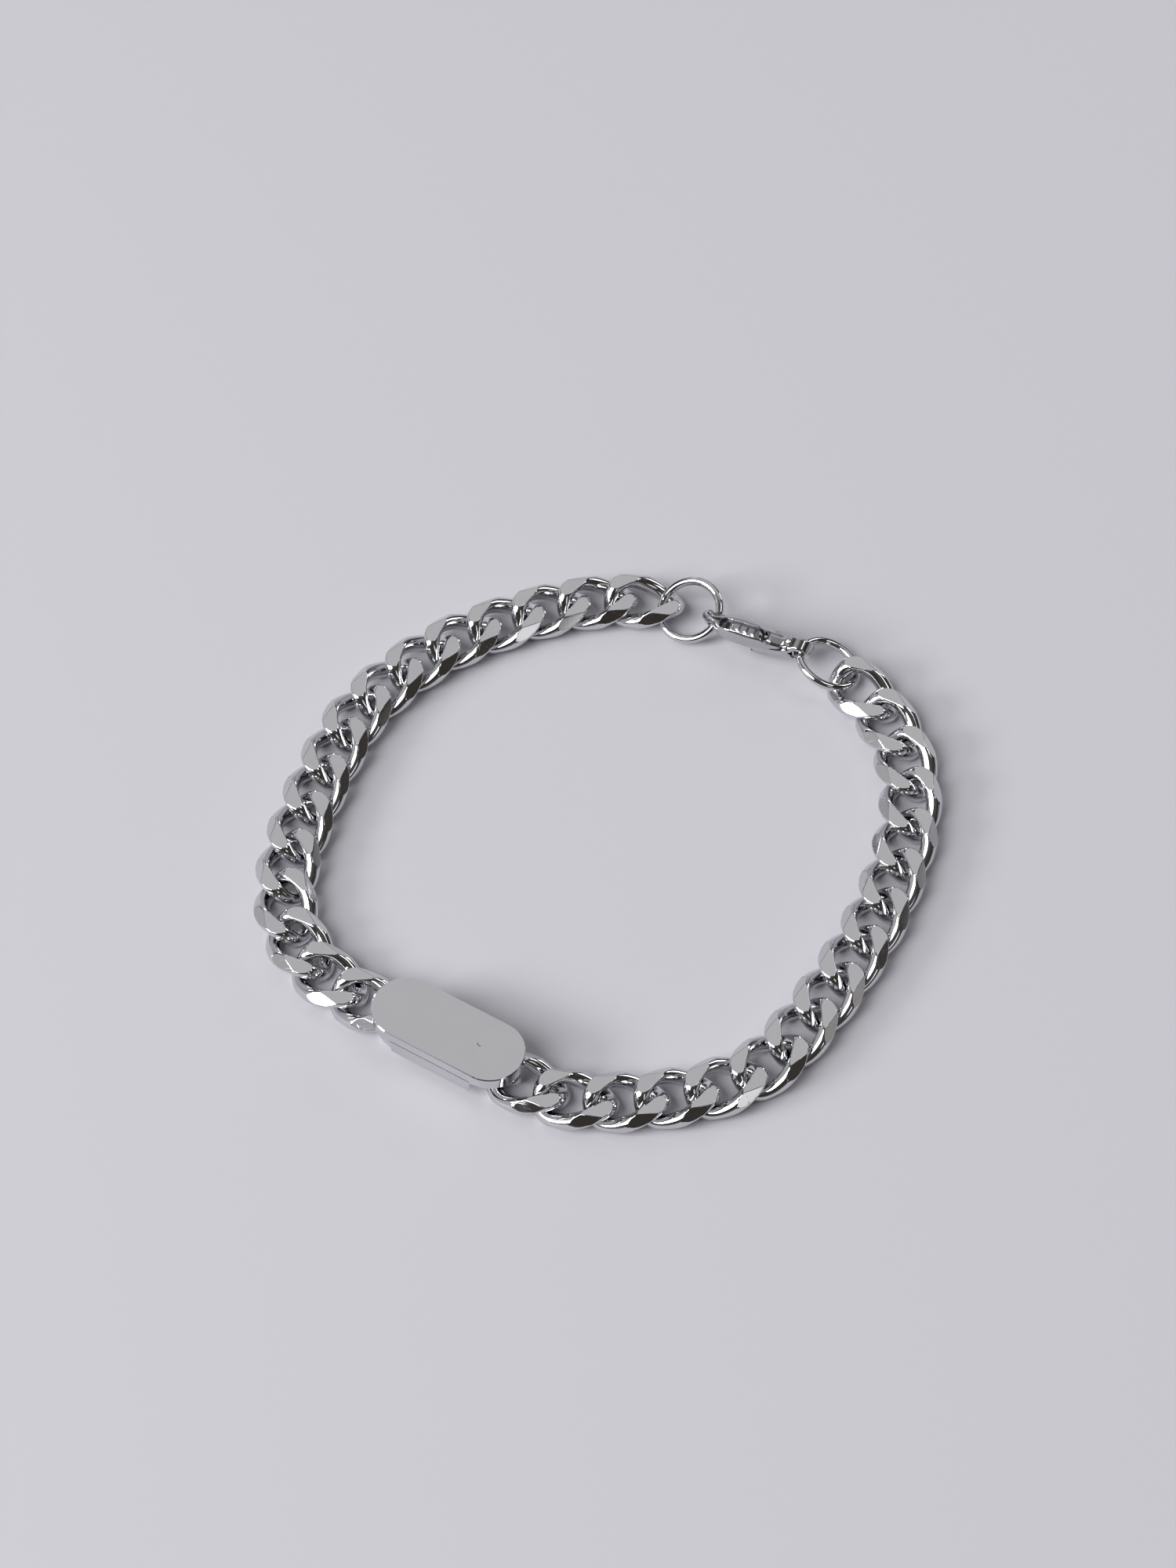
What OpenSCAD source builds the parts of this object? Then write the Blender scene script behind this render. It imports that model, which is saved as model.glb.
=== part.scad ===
// Curb-link identity bracelet in polished steel, closed, lying on a table.
// Units are millimetres, +Z is up, the table is z = 0 and the loop's middle is x = y = 0.
// Each side of the name plate has a run of twisted, flat-cut links. A jump ring ends each
// run, and a lobster clasp standing on its edge joins the two rings.

/* [Chain] */
// Number of links on each side of the plate
side_links = 16; // [12:1:16]
// Outer length of one link
link_l = 9.2; // [8.6:0.1:9.8]
// Outer width of one link
link_w = 7; // [6.6:0.1:7.6]
// Diameter of the link's wire
wire_d = 1.8; // [1.5:0.05:1.9]
// Height of the chain between its two polished faces
chain_h = 3; // [2.7:0.1:3.4]
// Twist of a link's end against its middle, in degrees
link_twist = 45; // [40:1:50]
// Play between two taut links
link_play = 0.3; // [0.25:0.01:0.4]
// Distance of the side bevel's upper edge from the chain's middle line
bevel_start = 2.4; // [2.2:0.05:2.7]

/* [Plate] */
// Length of the plate over its round ends
plate_l = 17.7; // [16:0.1:24]
// Width of the plate
plate_w = 7.4; // [6.6:0.1:9]
// Thickness of the cap that reaches over the end links
cap_t = 1.6; // [1.2:0.1:2.4]
// Depth of the block below the cap
block_t = 1.65; // [1:0.05:2]
// Gap between the cap and the polished faces of the end links
cap_gap = 0.1; // [0.05:0.05:0.4]
// Wire of the two half links soldered into the block
plate_loop_d = 1.5; // [1.3:0.05:1.8]

/* [Jump rings] */
// Outer diameter of a jump ring
ring_d = 7.8; // [7.2:0.1:9]
// Wire of a jump ring
ring_wire = 0.95; // [0.8:0.05:1.1]

/* [Clasp] */
// Length of the clasp over its nose and its eye
clasp_l = 13.4; // [12.8:0.1:15]
// Height of the clasp's body from its back to its lever side
clasp_h = 5.4; // [5:0.1:7]
// Greatest thickness of the clasp's body
clasp_t = 2.9; // [2.7:0.1:3.4]
// Thickness of the clasp's nose
nose_t = 1.4; // [1.3:0.1:2]
// Wall of the hook at the nose
nose_wall = 0.9; // [0.8:0.1:1.2]
// Wall of the back, over the opening
back_wall = 1.6; // [1.3:0.1:2]
// Outer diameter of the eye's ring
eye_d = 3.3; // [3.1:0.1:3.5]
// Wire of the eye's ring
eye_wire = 0.75; // [0.7:0.05:0.85]
// Diameter of the rivet that the lever turns on
rivet_d = 1; // [0.8:0.05:1.2]
// Thickness of the lever
lever_t = 1.1; // [0.9:0.1:1.4]
// Gap on each side of the lever in its slot
lever_gap = 0.1; // [0.08:0.01:0.15]
// Swing of the lever from closed to open, in degrees
lever_swing = 14; // [8:1:14]

/* [Pose] */
// Lean of the clasp's back over the inside of the loop, in degrees
clasp_lean = 15.7; // [10:0.1:24]
// Tip of the clasp's nose down towards the table, in degrees
clasp_tip = 2.7; // [1:0.1:4]

/* [Hidden] */
// The loop's route, counter-clockwise from the middle of the plate, as shares of its size
ROUTE = [
    [-16, -26], [-8.4, -30.6], [-3.2, -32.7], [2.5, -33], [9, -32.2], [14.3, -30.4], [18.4, -27.6],
    [22.1, -22.9], [26, -17], [30, -9.5], [33, -1], [34, 6], [33, 13], [29.5, 19.5],
    [25.3, 23.3], [22.4, 24.6], [13, 28.8], [10, 30.9],
    [4.5, 32.5], [-2, 32.2], [-9, 30.2], [-16, 27], [-22, 22.5], [-27, 16.5], [-30.5, 8.5],
    [-33, 0.5], [-34, -6], [-33.2, -11.5], [-30, -16.8], [-24.5, -21]
];
ROUTE_STEPS = 12;
LOOP_MIDDLE = [0.06, -0.27];   // middle of the finished loop's box before it is centred

SIDES = ["left", "right"];
function two_digits(n) = str(n < 10 ? "0" : "", n);
function link_name(side, n) = str("link_", side, "_", two_digits(n));

steel = [0.72, 0.72, 0.73];
bright_steel = [0.8, 0.8, 0.81];
dark_steel = [0.6, 0.6, 0.61];
FINE = 64;
EPS = 0.01;
CUT = 1;                 // how far a cut runs past what it cuts

// Links
LINK_SEGMENTS = 16;
TURN_STEP = 1;           // degrees either way that give the wire's direction
WIRE_SIDES = 6;
WIRE_ROUND = 1.04;       // corner radius of the six-sided wire over the round wire's radius
LINK_SQUARENESS = 2.6;   // 2 is an ellipse, more is squarer
link_pitch = link_l - 2 * wire_d - link_play;

function signed_power(v, p) = sign(v) * pow(abs(v), p);
// A point of a twisted link's wire, x along the chain and y towards the inside of the loop
function link_point(t, a, b) =
    let (x = a * signed_power(cos(t), 2 / LINK_SQUARENESS),
         w = b * signed_power(sin(t), 2 / LINK_SQUARENESS),
         turn = -link_twist * x / a)
    [x, w * cos(turn), w * sin(turn)];
function unit(v) = v / norm(v);

// The bare twisted link of length l and width w, swept from six-sided wire of diameter d
module twisted_link(l, w, d) {
    a = (l - d) / 2;
    b = (w - d) / 2;
    step = 360 / LINK_SEGMENTS;
    points = [
        for (i = [0 : LINK_SEGMENTS - 1])
        let (t = i * step,
             p = link_point(t, a, b),
             along = unit(link_point(t + TURN_STEP, a, b) - link_point(t - TURN_STEP, a, b)),
             turn = -link_twist * p[0] / a,
             side = unit(cross(along, [0, -sin(turn), cos(turn)])),
             up = cross(side, along))
        for (k = [0 : WIRE_SIDES - 1])
        let (c = k * 360 / WIRE_SIDES)
        p + d / 2 * WIRE_ROUND * (cos(c) * side + sin(c) * up)
    ];
    faces = [
        for (i = [0 : LINK_SEGMENTS - 1])
        for (k = [0 : WIRE_SIDES - 1])
        let (j = (i + 1) % LINK_SEGMENTS,
             m = (k + 1) % WIRE_SIDES,
             p0 = i * WIRE_SIDES + k,
             p1 = i * WIRE_SIDES + m,
             q0 = j * WIRE_SIDES + k,
             q1 = j * WIRE_SIDES + m)
        each [[p0, p1, q1], [p0, q1, q0]]
    ];
    polyhedron(points, faces);
}

// What the cutter leaves: two polished faces and a 45 degree bevel along each edge
module cut_profile(l) {
    drop = link_w / 2 - bevel_start;
    h = chain_h / 2;
    rotate([90, 0, 90])
        linear_extrude(l, center = true)
            polygon([
                [bevel_start, h], [link_w / 2, h - drop], [link_w / 2, drop - h], [bevel_start, -h],
                [-bevel_start, -h], [-link_w / 2, drop - h], [-link_w / 2, h - drop], [-bevel_start, h]
            ]);
}

module flat_cut_link(l, w, d) {
    intersection() {
        twisted_link(l, w, d);
        cut_profile(l + CUT);
    }
}

// Route: a smooth closed curve through the points, scaled to the bracelet's length
function route_at(i) = ROUTE[(i + len(ROUTE)) % len(ROUTE)];
function smooth(p0, p1, p2, p3, t) =
    0.5 * (2 * p1 + (p2 - p0) * t + (2 * p0 - 5 * p1 + 4 * p2 - p3) * t * t
        + (3 * p1 - p0 - 3 * p2 + p3) * t * t * t);
raw_curve = [
    for (i = [0 : len(ROUTE) - 1]) for (k = [0 : ROUTE_STEPS - 1])
    smooth(route_at(i - 1), route_at(i), route_at(i + 1), route_at(i + 2), k / ROUTE_STEPS)
];
CURVE_POINTS = len(raw_curve);
function running_lengths(curve) = [
    for (i = 0, s = 0; i <= len(curve);
        s = s + norm(curve[(i + 1) % len(curve)] - curve[i % len(curve)]), i = i + 1) s
];
raw_lengths = running_lengths(raw_curve);

// Stations along the route, measured from the middle of the plate
LOOP_INSET = 0.1;        // end of a half link inside the cap's round end
PLATE_PLAY = 0.3;       // play between a half link and the end link of the chain
RING_PLAY = 0.25;        // play of a jump ring in its end link
HOOK_PLAY = 0.6;         // play of a jump ring in the clasp's hook
ring_r = (ring_d - ring_wire) / 2;
loop_tip = plate_l / 2 - LOOP_INSET;
end_link_tip = loop_tip - plate_loop_d - PLATE_PLAY - wire_d / 2;
plate_span = end_link_tip + (link_l - wire_d) / 2;
chain_run = (side_links - 1) * link_pitch;
link_to_ring = link_l / 2 - wire_d - RING_PLAY - ring_wire / 2 + ring_r;
hook_seat = clasp_l / 2 - nose_wall - HOOK_PLAY - ring_wire / 2;
eye_seat = clasp_l / 2 - eye_d / 2;
loop_length = 2 * (plate_span + chain_run + link_to_ring + ring_r) + hook_seat + eye_seat;

scale_of_route = loop_length / raw_lengths[CURVE_POINTS];
curve = [for (p = raw_curve) p * scale_of_route - LOOP_MIDDLE];
lengths = raw_lengths * scale_of_route;

function wrapped(s) = s < 0 ? s + loop_length : s >= loop_length ? s - loop_length : s;
// Index of the last curve point at or before the length s, found by halving the span
function index_of(s, low, high) =
    high - low <= 1 ? low :
    let (mid = floor((low + high) / 2))
    lengths[mid] <= s ? index_of(s, mid, high) : index_of(s, low, mid);
function place_at(s) =
    let (w = wrapped(s),
         i = index_of(w, 0, CURVE_POINTS),
         f = (w - lengths[i]) / (lengths[i + 1] - lengths[i]))
    curve[i % CURVE_POINTS] * (1 - f) + curve[(i + 1) % CURVE_POINTS] * f;
function heading_at(s, reach) =
    let (d = place_at(s + reach) - place_at(s - reach))
    atan2(d[1], d[0]);

module at_station(s, z, reach) {
    p = place_at(s);
    translate([p[0], p[1], z])
        rotate([0, 0, heading_at(s, reach)])
            children();
}

// Links are numbered from the clasp on the left side, and from the plate on the right side
function link_station(side, n) =
    side == "left" ? -(plate_span + (side_links - n) * link_pitch)
                   : plate_span + (n - 1) * link_pitch;
LINK_REACH = 2.7;         // a link takes its heading from the route this far on each side

module chain_link(side, n) {
    color(steel)
        at_station(link_station(side, n), chain_h / 2, LINK_REACH)
            flat_cut_link(link_l, link_w, wire_d);
}

// Plate
BLOCK_PLAY = 0.35;       // gap between the block and the end link it faces
HALF_LINK_ROOT = 1;      // depth of a half link inside the block
HALF_LINK_INSET = 0.1;   // how much narrower a half link is than a link, on each side
plate_under_cap = chain_h + cap_gap;
block_half = end_link_tip - wire_d / 2 - BLOCK_PLAY;

module stadium(l, w) {
    square([l - w, w], center = true);
    for (x = [-1, 1])
        translate([x * (l - w) / 2, 0])
            circle(d = w, $fn = FINE);
}

module half_link(end) {
    reach = loop_tip - block_half + HALF_LINK_ROOT;
    l = 2 * (reach + plate_loop_d);
    translate([end * (loop_tip - l / 2), 0, chain_h / 2])
        intersection() {
            flat_cut_link(l, link_w - 2 * HALF_LINK_INSET, plate_loop_d);
            translate([end * l / 2, 0, 0])
                cube([2 * reach, link_w, chain_h], center = true);
        }
}

module id_plate() {
    color(bright_steel)
        at_station(0, 0, plate_l / 4) {
            translate([0, 0, plate_under_cap])
                linear_extrude(cap_t)
                    stadium(plate_l, plate_w);
            translate([0, 0, plate_under_cap - block_t])
                linear_extrude(block_t + EPS)
                    intersection() {
                        stadium(plate_l, plate_w);
                        square([2 * block_half, plate_w + CUT], center = true);
                    }
            for (end = [-1, 1])
                half_link(end);
        }
}

// Jump rings, each tilted from its end link up to the clasp
ring_left_station = -(plate_span + chain_run + link_to_ring);
ring_right_station = plate_span + chain_run + link_to_ring;
RING_SIDES = 24;
// Each ring's middle, from its station on the route, and its tilt about x and y
RING_LEFT_FROM_ROUTE = [-0.1, 0.08, 2.19];
RING_LEFT_TILT = [18, -18];
RING_RIGHT_FROM_ROUTE = [0.3, -0.04, 2.17];
RING_RIGHT_TILT = [-7.4, 21.3];

module ring_of_wire(d, wire) {
    rotate_extrude($fn = FINE)
        translate([(d - wire) / 2, 0])
            circle(d = wire, $fn = RING_SIDES);
}

module jump_ring(s, from_route, tilt) {
    p = place_at(s);
    color(bright_steel)
        translate([p[0], p[1], 0] + from_route)
            rotate([tilt[0], tilt[1], 0])
                ring_of_wire(ring_d, ring_wire);
}

module jump_ring_left() { jump_ring(ring_left_station, RING_LEFT_FROM_ROUTE, RING_LEFT_TILT); }
module jump_ring_right() { jump_ring(ring_right_station, RING_RIGHT_FROM_ROUTE, RING_RIGHT_TILT); }

// Clasp: x runs from the nose to the eye, z from the lever to the back, y across its thickness
OVAL_SIDES = 48;
BODY_POWER = 0.86;       // power of the body's oval, where 1 is an ellipse
SECTION_POWER = 0.8;     // power of the oval section that rounds the body's sides
OPENING_POWER = 0.8;
ROOT_L = 4;              // solid root between the opening and the eye, which holds the rivet
LEVER_WALL = 1;          // height of the lever's arm
HOOK_TIP = 2.3;          // from the nose to the hook's tip, where the lever begins
ARM_ROOT_RISE = 1.35;    // how much higher the arm is at its root
TIP_GAP = 0.12;          // gap between the hook's tip and the lever
RIVET_BEHIND = 1.25;     // rivet behind the end of the opening
RIVET_ABOVE = 0.55;      // rivet above the top of the lever's arm
RIVET_SHORT = 0.3;       // how much shorter the rivet is than the body's greatest thickness
SWING_SPARE = 1;         // degrees that the slot lets the lever pass its open end
HUB_WALL = 0.65;         // wall of the lever's hub round its hole
HUB_GAP = 0.12;          // gap round the hub in the slot
MOUTH_INSET = 0.6;       // where the mouth ends and the lever's slot goes on, in the opening
RIVET_FIT = 0.02;        // gap round the rivet in the body
LEVER_FIT = 0.05;        // gap round the rivet in the lever
GROOVE_L = 5.6;
GROOVE_W = 1.1;
GROOVE_DEPTH = 0.35;
GROOVE_SHARE = 0.46;     // middle of the groove, as a share of the body's length
clasp_z = 2.97;          // height of the clasp's middle over the table
CLASP_FROM_ROUTE = [0.25, 0.14];   // from the line between the rings, in x and y
CLASP_TURN = -1.9;       // turn of the clasp from the line between the rings, in degrees

body_l = clasp_l - eye_d + eye_wire;
body_x = -clasp_l / 2 + body_l / 2;
opening_l = body_l - nose_wall - ROOT_L;
opening_x = -clasp_l / 2 + nose_wall + opening_l / 2;
opening_end = opening_x + opening_l / 2;
opening_h = clasp_h - back_wall - LEVER_WALL;
opening_z = (LEVER_WALL - back_wall) / 2;
hook_tip_x = -clasp_l / 2 + HOOK_TIP;
rivet_x = opening_end + RIVET_BEHIND;
rivet_z = -clasp_h / 2 + LEVER_WALL + RIVET_ABOVE;
hub_d = rivet_d + 2 * HUB_WALL;
groove_x = -clasp_l / 2 + GROOVE_SHARE * body_l;
rivet_l = clasp_t - RIVET_SHORT;

// The body seen on its back, from the nose to the eye: share of its length, and how far
// its width has grown from the nose's thickness to the greatest thickness
BACK = [
    [0, 0.1], [0.04, 0.37], [0.08, 0.37], [0.11, 0.12], [0.14, -0.03], [0.19, 0], [0.23, 0.5], [0.27, 0.82],
    [0.33, 0.95], [0.42, 1], [0.5, 1], [0.58, 0.88], [0.66, 0.68], [0.74, 0.54], [0.82, 0.42], [0.91, 0.26], [1, 0.1]
];

function oval(l, h, power) = [
    for (i = [0 : OVAL_SIDES - 1])
    let (t = i * 360 / OVAL_SIDES)
    [l / 2 * signed_power(cos(t), power), h / 2 * signed_power(sin(t), power)]
];

module across(t) {
    rotate([90, 0, 0])
        linear_extrude(t, center = true)
            children();
}

module body_outline() {
    translate([body_x, 0])
        polygon(oval(body_l, clasp_h, BODY_POWER));
}

module body_opening() {
    translate([opening_x, opening_z])
        polygon(oval(opening_l, opening_h, OPENING_POWER));
}

// Arm of the lever as seen from the side, between the hook's tip and its hub
module lever_arm_outline(slack) {
    difference() {
        intersection() {
            body_outline();
            translate([hook_tip_x - slack, -clasp_h / 2 - CUT])
                square([rivet_x - hook_tip_x + 2 * slack, CUT + LEVER_WALL + ARM_ROOT_RISE + slack]);
        }
        if (slack == 0)
            body_opening();
    }
}

module back_outline() {
    half_widths = [for (p = BACK) [p[0] * body_l, (nose_t + (clasp_t - nose_t) * p[1]) / 2]];
    last = len(BACK) - 1;
    translate([-clasp_l / 2, 0])
        polygon([
            for (p = half_widths) [p[0], -p[1]],
            for (i = [0 : last]) half_widths[last - i]
        ]);
}

// A long groove of even depth that follows the curve of the back
module back_groove() {
    intersection() {
        translate([groove_x, 0, 0])
            linear_extrude(clasp_h)
                stadium(GROOVE_L, GROOVE_W);
        across(clasp_t)
            difference() {
                translate([-clasp_l / 2, 0])
                    square([clasp_l, clasp_h]);
                translate([body_x, 0])
                    polygon(oval(body_l - 2 * GROOVE_DEPTH, clasp_h - 2 * GROOVE_DEPTH, BODY_POWER));
            }
    }
}

// The clasp hangs between the two rings, a little beside the route
module in_clasp() {
    hook = place_at(ring_left_station - ring_r);
    eye = place_at(ring_right_station + ring_r);
    along = eye - hook;
    middle = hook + along * hook_seat / (hook_seat + eye_seat) + CLASP_FROM_ROUTE;
    translate([middle[0], middle[1], clasp_z])
        rotate([0, 0, atan2(along[1], along[0]) + CLASP_TURN])
            rotate([clasp_lean, -clasp_tip, 0])
                children();
}

// Turns a side view round the rivet, as the lever turns
module about_rivet(turn) {
    translate([rivet_x, rivet_z])
        rotate(-turn)
            translate([-rivet_x, -rivet_z])
                children();
}

module rivet_bore(d) {
    translate([rivet_x, 0, rivet_z])
        rotate([90, 0, 0])
            cylinder(d = d, h = clasp_t + CUT, center = true, $fn = FINE);
}

module clasp_body() {
    slot = lever_t + 2 * lever_gap;
    color(steel)
        in_clasp() {
            difference() {
                intersection() {
                    across(clasp_t + CUT)
                        body_outline();
                    linear_extrude(clasp_h + CUT, center = true)
                        back_outline();
                    rotate([90, 0, 90])
                        linear_extrude(clasp_l, center = true)
                            polygon(oval(clasp_t, clasp_h, SECTION_POWER));
                }
                across(clasp_t + CUT)
                    body_opening();
                // The mouth between the hook's tip and the hub
                across(clasp_t + CUT)
                    intersection() {
                        lever_arm_outline(TIP_GAP);
                        translate([hook_tip_x - TIP_GAP, -clasp_h / 2 - CUT])
                            square([opening_end - MOUTH_INSET - hook_tip_x, clasp_h]);
                    }
                // The slot that the arm and the hub turn in
                across(slot)
                    for (turn = [0, lever_swing / 2, lever_swing + SWING_SPARE])
                        about_rivet(turn)
                            lever_arm_outline(TIP_GAP);
                translate([rivet_x, 0, rivet_z])
                    rotate([90, 0, 0])
                        cylinder(d = hub_d + 2 * HUB_GAP, h = slot, center = true, $fn = FINE);
                rivet_bore(rivet_d + 2 * RIVET_FIT);
                back_groove();
            }
            translate([eye_seat, 0, 0])
                rotate([90, 0, 0])
                    ring_of_wire(eye_d, eye_wire);
        }
}

module clasp_lever() {
    color(dark_steel)
        in_clasp()
            difference() {
                union() {
                    across(lever_t)
                        lever_arm_outline(0);
                    translate([rivet_x, 0, rivet_z])
                        rotate([90, 0, 0])
                            cylinder(d = hub_d, h = lever_t, center = true, $fn = FINE);
                }
                rivet_bore(rivet_d + 2 * LEVER_FIT);
            }
}

module clasp_rivet() {
    color(bright_steel)
        in_clasp()
            translate([rivet_x, 0, rivet_z])
                rotate([90, 0, 0])
                    cylinder(d = rivet_d, h = rivet_l, center = true, $fn = FINE);
}

for (side = SIDES) for (n = [1 : side_links])
    chain_link(side, n);
id_plate();
jump_ring_left();
jump_ring_right();
clasp_body();
clasp_lever();
clasp_rivet();
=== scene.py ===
"""Looks of a polished curb-link id bracelet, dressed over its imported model.

Lengths inside the classes are millimetres in the frame of the model. Meshes are turned
into metres when their objects are made.
"""

import logging
import math
from bisect import bisect_right
from dataclasses import dataclass, field
from enum import Enum
from functools import cached_property
from typing import Callable

import bmesh
import bpy
import numpy as np
from mathutils import Matrix, Vector


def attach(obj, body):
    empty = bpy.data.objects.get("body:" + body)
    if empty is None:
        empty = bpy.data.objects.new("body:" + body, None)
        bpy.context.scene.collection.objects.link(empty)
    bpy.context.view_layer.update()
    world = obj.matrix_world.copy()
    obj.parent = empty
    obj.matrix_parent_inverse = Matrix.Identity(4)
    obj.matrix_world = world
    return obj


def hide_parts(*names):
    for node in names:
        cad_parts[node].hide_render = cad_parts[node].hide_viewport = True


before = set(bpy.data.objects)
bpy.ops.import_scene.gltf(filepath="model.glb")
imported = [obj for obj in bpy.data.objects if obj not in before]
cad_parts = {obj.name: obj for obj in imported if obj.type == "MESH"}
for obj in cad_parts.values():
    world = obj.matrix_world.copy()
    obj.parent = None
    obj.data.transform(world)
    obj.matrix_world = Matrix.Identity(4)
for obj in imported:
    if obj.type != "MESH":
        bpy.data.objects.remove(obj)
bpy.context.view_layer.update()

LOG = logging.getLogger("bracelet")
MM = 0.001
Array = np.ndarray
BMesh = bmesh.types.BMesh
Field = Callable[[Array, Array, Array], Array]
Material = bpy.types.Material
Pair = tuple[float, float]
Piece = bpy.types.Object
Socket = bpy.types.NodeSocket
Table = tuple[Pair, ...]
Tree = bpy.types.NodeTree
Triple = tuple[float, float, float]
BRACELET_BODY = "bracelet"
LEVER_BODY = "lever"


class Side(Enum):
    """The two runs of links."""

    LEFT = "left"
    RIGHT = "right"


class Slot(Enum):
    """The record's material slots."""

    LINK = "link_steel"
    PLATE = "plate_steel"
    RING = "ring_steel"
    CLASP = "clasp_steel"
    LEVER = "lever_steel"
    RIVET = "rivet_steel"


# -------- mesh helpers


def new_object(name: str, data: bpy.types.ID) -> Piece:
    """Puts an object with some data into the scene."""
    made = bpy.data.objects.new(name, data)
    bpy.context.scene.collection.objects.link(made)
    return made


def new_piece(name: str, bm: BMesh, place: Matrix, weighted: bool = True) -> Piece:
    """Makes an object from a mesh in millimetres.

    Args:
        name: The piece's name.
        bm: The mesh, in the piece's own frame. It is freed.
        place: Where the piece goes, in millimetres.
        weighted: True to let large flat faces keep their own normals.

    Returns:
        The linked object, with its vertices in metres in the frame of the model.
    """
    bmesh.ops.recalc_face_normals(bm, faces=bm.faces)
    mesh = bpy.data.meshes.new(name)
    bm.to_mesh(mesh)
    bm.free()
    mesh.transform(Matrix.Scale(MM, 4) @ place)
    mesh.shade_smooth()
    piece = new_object(name, mesh)
    if weighted:
        normals = piece.modifiers.new("flat_normals", "WEIGHTED_NORMAL")
        normals.weight = 100
        normals.keep_sharp = False
        apply_modifiers(piece)
    return piece


def apply_modifiers(piece: Piece) -> None:
    """Replaces a piece's mesh by what its modifiers make of it."""
    graph = bpy.context.evaluated_depsgraph_get()
    mesh = bpy.data.meshes.new_from_object(piece.evaluated_get(graph), depsgraph=graph)
    old = piece.data
    piece.modifiers.clear()
    piece.data = mesh
    bpy.data.meshes.remove(old)
    mesh.name = piece.name


def dress(piece: Piece, material: Material, slot: Slot, body: str, *nodes: str) -> None:
    """Gives a piece its material, hangs it on its body's empty and hides the model's parts that it
    stands for.

    Args:
        piece: The finished piece.
        material: Its material.
        slot: Not used.
        body: The body that it rides on.
        nodes: The nodes that it stands for.
    """
    piece.data.materials.clear()
    piece.data.materials.append(material)
    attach(piece, body)
    if nodes:
        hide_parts(*nodes)


def close_tube(bm: BMesh, rings: list[list[bmesh.types.BMVert]]) -> None:
    """Joins rings of points, all with the same count, into a closed tube."""
    for i, ring in enumerate(rings):
        following = rings[(i + 1) % len(rings)]
        for k, corner in enumerate(ring):
            m = (k + 1) % len(ring)
            bm.faces.new((corner, ring[m], following[m], following[k]))


def turned(degrees: float, axis: str) -> Matrix:
    """A turn about an axis."""
    return Matrix.Rotation(math.radians(degrees), 4, axis)


def signed_power(value: float, power: float) -> float:
    """The power of a number's size, with its sign kept."""
    return math.copysign(abs(value) ** power, value)


# -------- route


@dataclass(frozen=True)
class Route:
    """The closed line that the chain lies along, with the stations of its pieces.

    Attributes:
        points: Chosen points of the line, before it is scaled to the chain's length.
        steps: Steps of the curve between two of them.
        middle: Middle of the box round the curve.
        side_links: Links in each run.
        pitch: From link to link.
        plate_span: From the plate's middle to the first link's.
        link_to_ring: From the last link's middle to the jump ring's.
        ring_r: From a jump ring's middle to its far wire.
        hook_seat: From the clasp's middle to the wire in its hook.
        eye_seat: From the clasp's middle to the wire in its eye.
    """

    points: Table = (
        (-16, -26), (-8.4, -30.6), (-3.2, -32.7), (2.5, -33), (9, -32.2), (14.3, -30.4),
        (18.4, -27.6), (22.1, -22.9), (26, -17), (30, -9.5), (33, -1), (34, 6), (33, 13),
        (29.5, 19.5), (25.3, 23.3), (22.4, 24.6), (13, 28.8), (10, 30.9), (4.5, 32.5), (-2, 32.2),
        (-9, 30.2), (-16, 27), (-22, 22.5), (-27, 16.5), (-30.5, 8.5), (-33, 0.5), (-34, -6),
        (-33.2, -11.5), (-30, -16.8), (-24.5, -21),
    )
    steps: int = 12
    middle: Pair = (0.06, -0.27)
    side_links: int = 16
    pitch: float = 5.3
    plate_span: float = 9.75
    link_to_ring: float = 5.5
    ring_r: float = 3.425
    hook_seat: float = 4.725
    eye_seat: float = 5.05

    def ring_station(self) -> float:
        """Station of the right jump ring's middle. The left one's is its negative."""
        return self.plate_span + (self.side_links - 1) * self.pitch + self.link_to_ring

    def length(self) -> float:
        """Length of the whole loop."""
        return 2 * (self.ring_station() + self.ring_r) + self.hook_seat + self.eye_seat

    @cached_property
    def curve(self) -> tuple[list[Vector], list[float]]:
        """The loop's points and the running length at each, one more than the points."""
        count = len(self.points)
        raw = []
        for i in range(count):
            p0, p1, p2, p3 = (Vector(self.points[(i + k - 1) % count]) for k in range(4))
            for k in range(self.steps):
                t = k / self.steps
                bend = (2 * p0 - 5 * p1 + 4 * p2 - p3) * t * t
                twist = (3 * p1 - p0 - 3 * p2 + p3) * t ** 3
                raw.append(0.5 * (2 * p1 + (p2 - p0) * t + bend + twist))
        lengths = [0.0]
        for i, p in enumerate(raw):
            lengths.append(lengths[-1] + (raw[(i + 1) % len(raw)] - p).length)
        scale = self.length() / lengths[-1]
        middle = Vector(self.middle)
        return [p * scale - middle for p in raw], [s * scale for s in lengths]

    def place(self, station: float) -> Vector:
        """The point of the loop at a station."""
        points, lengths = self.curve
        s = station % lengths[-1]
        low = min(bisect_right(lengths, s), len(points)) - 1
        share = (s - lengths[low]) / (lengths[low + 1] - lengths[low])
        return points[low % len(points)].lerp(points[(low + 1) % len(points)], share)

    def heading(self, station: float, reach: float) -> float:
        """The loop's heading at a station, in radians, taken over a reach on each side."""
        d = self.place(station + reach) - self.place(station - reach)
        return math.atan2(d.y, d.x)

    def link_station(self, side: Side, number: int) -> float:
        """Station of a link: numbered from the clasp on the left, from the plate on the right."""
        if side is Side.LEFT:
            return -(self.plate_span + (self.side_links - number) * self.pitch)
        return self.plate_span + (number - 1) * self.pitch

    def pose(self, station: float, height: float, reach: float) -> Matrix:
        """A frame on the loop, with x along it."""
        p = self.place(station)
        turn = Matrix.Rotation(self.heading(station, reach), 4, "Z")
        return Matrix.Translation((p.x, p.y, height)) @ turn


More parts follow.
